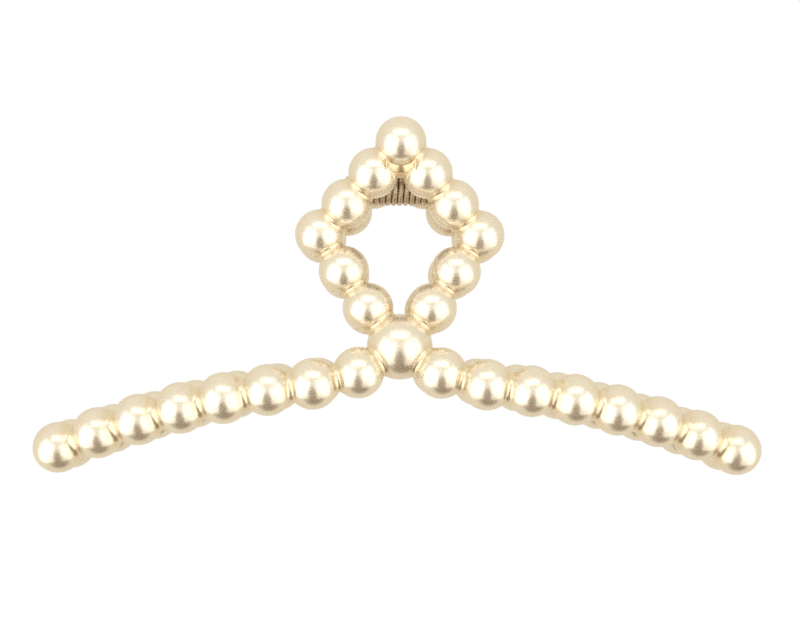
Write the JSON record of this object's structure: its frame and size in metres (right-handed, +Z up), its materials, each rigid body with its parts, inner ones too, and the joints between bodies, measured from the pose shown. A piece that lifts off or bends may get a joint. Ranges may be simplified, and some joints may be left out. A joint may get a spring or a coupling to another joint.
{
  "type": "claw clip",
  "caption": "Sprung hair claw clip with two bead-string jaws and a kite-shaped loop handle; it grips a twist of hair between its curved arms.",
  "frame": {"origin": "under the middle of the clip, level with the lowest beads of the arms, midway between the two jaws", "axes": "+Z up from the jaws to the handle, X along the arms, -Y towards the front jaw, whose face is the one that shows when worn"},
  "size_m": [0.1122, 0.0284, 0.0545],
  "materials": {
    "pearl_lacquer": "fused moulded beads under a cream to pale gold pearl lacquer, glossy, darker and more golden in the grooves",
    "spring_steel": "drawn spring wire with a warm brownish tint, satin",
    "pin_steel": "plain turned steel, satin"
  },
  "bodies": {
    "front_jaw": {"front_half": "pearl_lacquer", "hinge_pin": "pin_steel", "torsion_spring": "spring_steel"},
    "rear_jaw": {"rear_half": "pearl_lacquer"}
  },
  "joints": [
    {"name": "jaw_hinge", "type": "hinge", "parent": "front_jaw", "child": "rear_jaw", "pos_m": [0, 0, 0.04498], "axis": [1, 0, 0], "range_deg": [0, 66], "stiffness_Nm_per_rad": 0.04, "springref_deg": -80.21, "deforming": ["torsion_spring"]}
  ]
}
